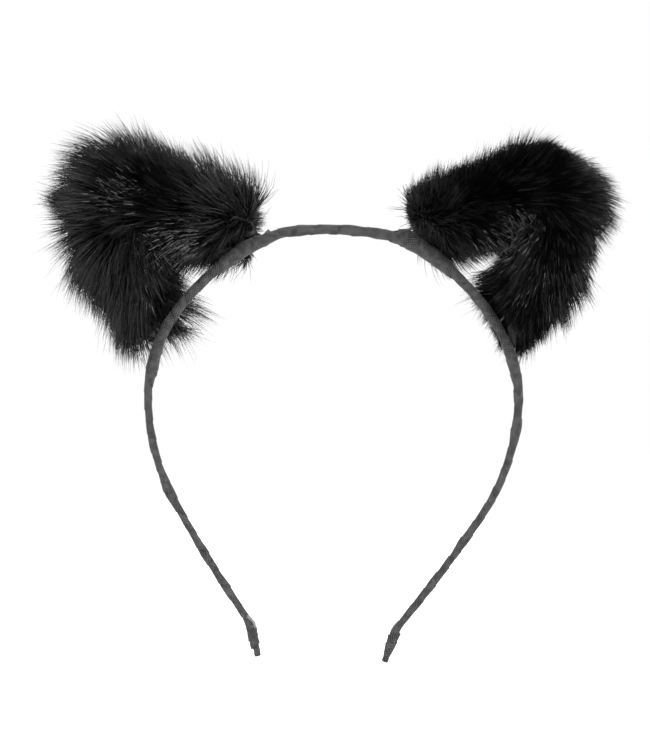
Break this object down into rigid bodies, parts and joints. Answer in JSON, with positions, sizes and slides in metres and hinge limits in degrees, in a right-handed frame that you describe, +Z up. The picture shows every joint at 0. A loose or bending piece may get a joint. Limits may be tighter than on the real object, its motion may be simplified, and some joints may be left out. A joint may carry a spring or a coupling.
{
  "type": "animal ears headband",
  "caption": "Slim tape-wound spring wire headband, an open arch with kinked tips, carrying furry black animal ears on bent wires lashed behind the band.",
  "frame": {"origin": "underside of the band's tape at the middle of the crown, where the band rests on top of the head", "axes": "+Z up as worn, +X to the right seen from the front, +Y to the back; the ears' feet lie on the band's +Y side"},
  "size_m": [0.1985, 0.034, 0.1872],
  "materials": {
    "spring_steel": "satin",
    "soft_steel": "satin",
    "cotton_tape": "matte",
    "mink_fur": "matte",
    "hide": "matte",
    "wadding": "matte",
    "sewing_thread": "matte"
  },
  "bodies": {
    "crown": {"crown_wire": "spring_steel", "crown_tape": "cotton_tape"},
    "left_shoulder": {"left_shoulder_wire": "spring_steel", "left_shoulder_tape": "cotton_tape", "left_inner_lashing": "cotton_tape", "left_outer_lashing": "cotton_tape"},
    "left_arm": {"left_arm_wire": "spring_steel", "left_arm_tape": "cotton_tape", "left_tip_binding": "cotton_tape"},
    "left_ear": {"left_ear_wire": "soft_steel", "left_ear_padding": "wadding", "left_ear_hide": "hide", "left_ear_seam": "sewing_thread", "left_ear_fur": "mink_fur"},
    "right_shoulder": {"right_shoulder_wire": "spring_steel", "right_shoulder_tape": "cotton_tape", "right_inner_lashing": "cotton_tape", "right_outer_lashing": "cotton_tape"},
    "right_arm": {"right_arm_wire": "spring_steel", "right_arm_tape": "cotton_tape", "right_tip_binding": "cotton_tape"},
    "right_ear": {"right_ear_wire": "soft_steel", "right_ear_padding": "wadding", "right_ear_hide": "hide", "right_ear_seam": "sewing_thread", "right_ear_fur": "mink_fur"}
  },
  "joints": [
    {"name": "left_crown_flex", "type": "hinge", "parent": "crown", "child": "left_shoulder", "pos_m": [-0.01098, 0, 0.00127], "axis": [0, 1, 0], "range_deg": [-3, 9], "stiffness_Nm_per_rad": 1.5},
    {"name": "left_arm_flex", "type": "hinge", "parent": "left_shoulder", "child": "left_arm", "pos_m": [-0.06608, 0, -0.06799], "axis": [0, 1, 0], "range_deg": [-3, 9]},
    {"name": "left_ear_tilt", "type": "hinge", "parent": "left_shoulder", "child": "left_ear", "pos_m": [-0.03042, 0.0027, -0.00448], "axis": [-0.6656, 0, -0.7463], "range_deg": [-25, 25]},
    {"name": "right_crown_flex", "type": "hinge", "parent": "crown", "child": "right_shoulder", "pos_m": [0.01098, 0, 0.00127], "axis": [0, -1, 0], "range_deg": [-3, 9], "stiffness_Nm_per_rad": 1.5},
    {"name": "right_arm_flex", "type": "hinge", "parent": "right_shoulder", "child": "right_arm", "pos_m": [0.06608, 0, -0.06799], "axis": [0, -1, 0], "range_deg": [-3, 9]},
    {"name": "right_ear_tilt", "type": "hinge", "parent": "right_shoulder", "child": "right_ear", "pos_m": [0.02692, 0.0027, -0.00254], "axis": [-0.7042, 0, 0.71], "range_deg": [-25, 25]}
  ],
  "couplings": [
    {"joint": "left_arm_flex", "follows": "left_crown_flex", "ratio": 1},
    {"joint": "right_arm_flex", "follows": "right_crown_flex", "ratio": 1}
  ]
}
